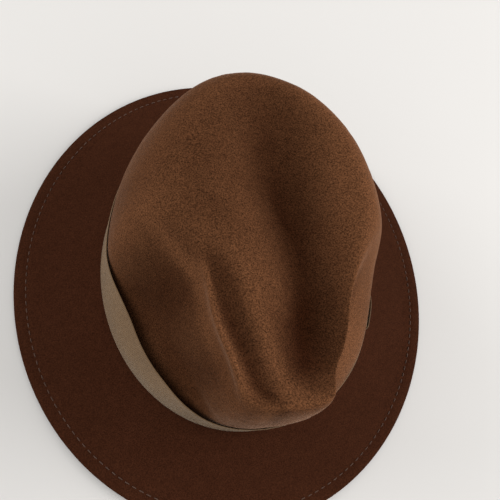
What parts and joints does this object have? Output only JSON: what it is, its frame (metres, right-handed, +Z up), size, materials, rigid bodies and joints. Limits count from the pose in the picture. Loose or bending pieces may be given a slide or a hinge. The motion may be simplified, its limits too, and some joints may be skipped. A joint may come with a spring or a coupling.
{
  "type": "fedora hat",
  "caption": "Pinch-front felt fedora with a stitched brim edge, a ribbon band and flat bow, and a leather sweatband.",
  "frame": {"origin": "on the surface that the brim rests on, under the middle of the brim", "axes": "+Z up through the crown, -Y towards the front of the hat (the pinch), +X towards the wearer's left (the bow)"},
  "size_m": [0.2864, 0.3206, 0.1325],
  "materials": {
    "crown_felt": "brown wool felt with a short raised nap",
    "brim_felt": "darker, closely pressed brown wool felt",
    "ribbon": "khaki grosgrain ribbon",
    "thread": "light brown cotton thread",
    "leather": "smooth brown roan leather",
    "reed": "pale cased reed",
    "satin": "brown satin",
    "label": "blank woven label"
  },
  "bodies": {
    "root": {"crown": "crown_felt", "brim": "brim_felt", "crown_brim_seam": "thread", "brim_stitch_top": "thread", "brim_stitch_under": "thread", "hatband": "ribbon", "bow_loops": "ribbon", "bow_knot": "ribbon", "hatband_tack_rear": "thread", "hatband_tack_right": "thread", "hatband_tack_front": "thread", "hatband_tack_left": "thread", "sweatband": "leather", "sweatband_reed": "reed", "sweatband_stitch": "thread", "sweatband_bow": "ribbon", "size_label": "label", "lining_side": "satin", "lining_tip": "satin"}
  },
  "joints": []
}
